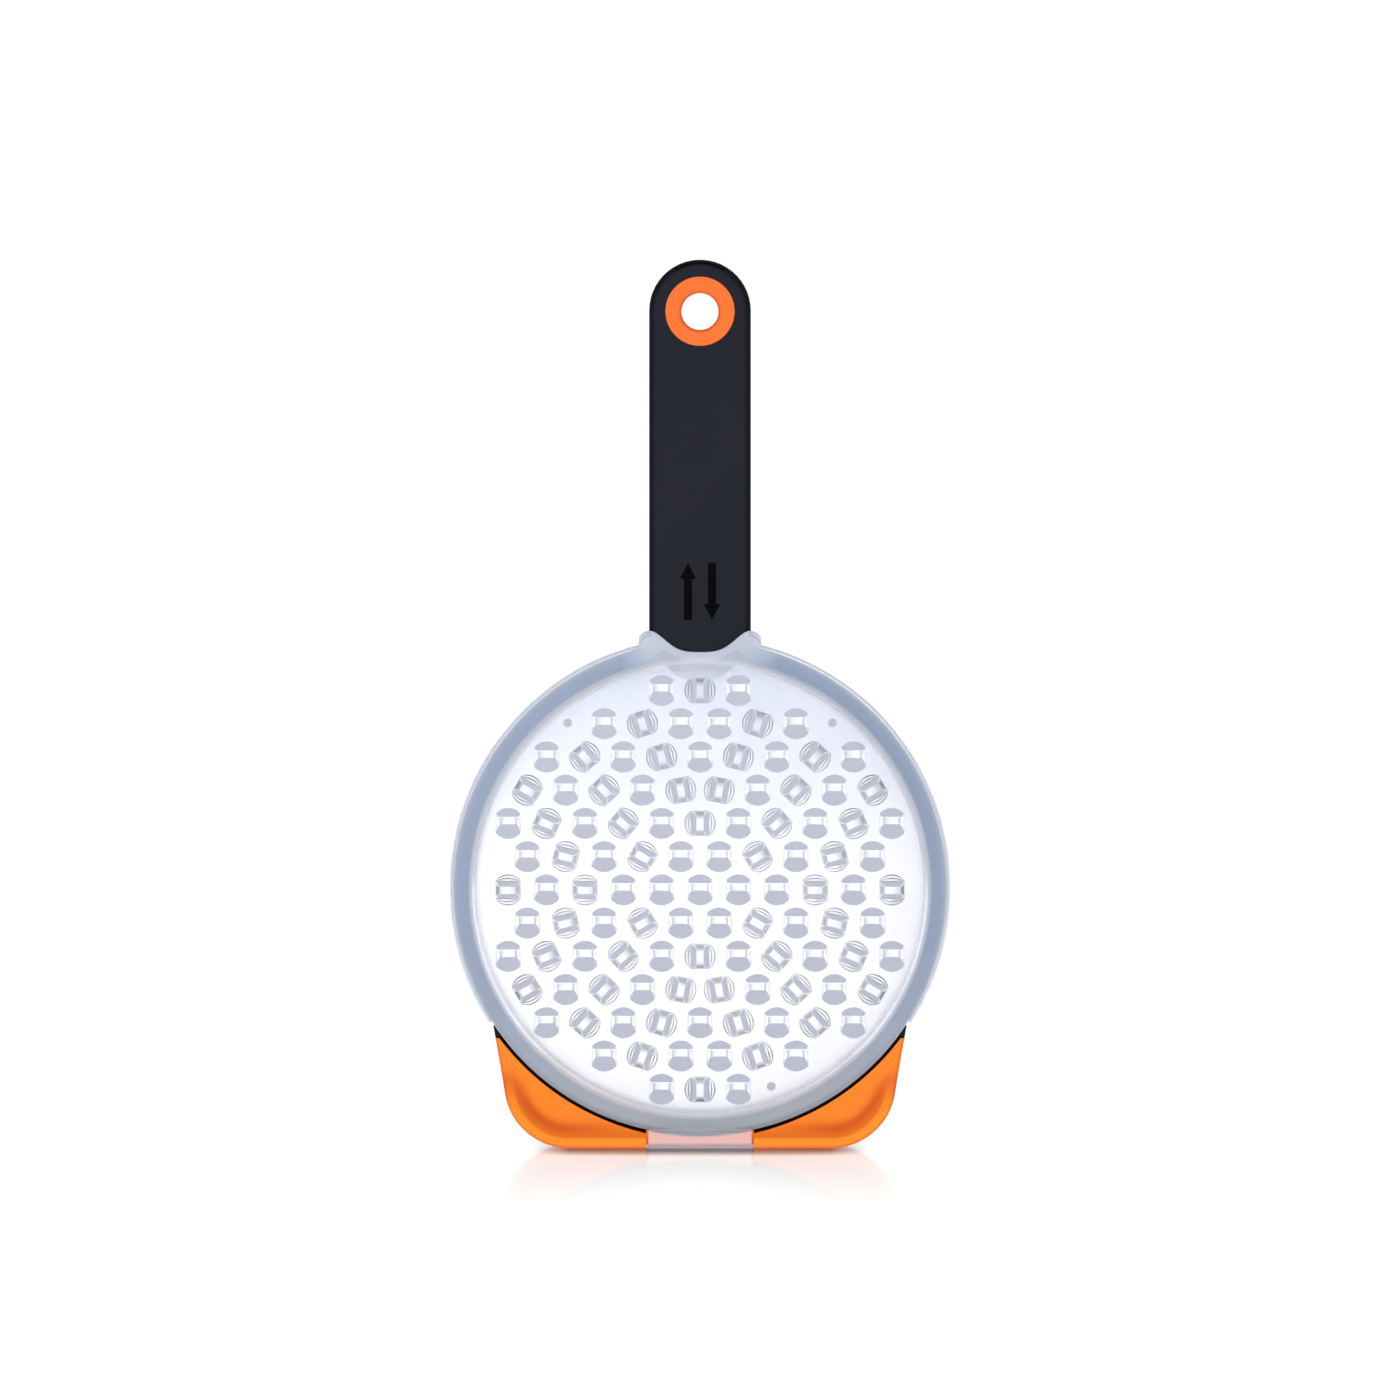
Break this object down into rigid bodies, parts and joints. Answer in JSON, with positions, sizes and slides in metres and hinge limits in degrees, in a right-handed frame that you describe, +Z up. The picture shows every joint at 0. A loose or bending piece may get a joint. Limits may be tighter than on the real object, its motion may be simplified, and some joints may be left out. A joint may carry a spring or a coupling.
{
  "type": "hand grater",
  "caption": "round-headed two-sided hand grater with a straight handle, a rubber foot and a translucent cover that comes off the head",
  "frame": {"origin": "middle of the foot's underside, in the mid-plane of the grating plate", "axes": "+Z up from the foot to the handle's round end, -Y out of the covered front face, +X to the right seen from the front"},
  "size_m": [0.163, 0.018, 0.2878],
  "materials": {
    "frame_nylon": "fine matt moulded nylon",
    "plate_steel": "bright fine-brushed stainless",
    "orange_ring": "satin soft-touch plastic",
    "orange_rubber": "satin soft rubber",
    "cover_plastic": "milky translucent, lightly frosted"
  },
  "bodies": {
    "grater": {"front_frame": "frame_nylon", "back_frame": "frame_nylon", "grater_plate": "plate_steel", "hang_ring": "orange_ring", "rubber_foot": "orange_rubber"},
    "cover": {"cover": "cover_plastic"}
  },
  "joints": [
    {"name": "cover_pull", "type": "slide", "parent": "grater", "child": "cover", "axis": [0, -1, 0], "range_m": [0, 0.08]}
  ]
}
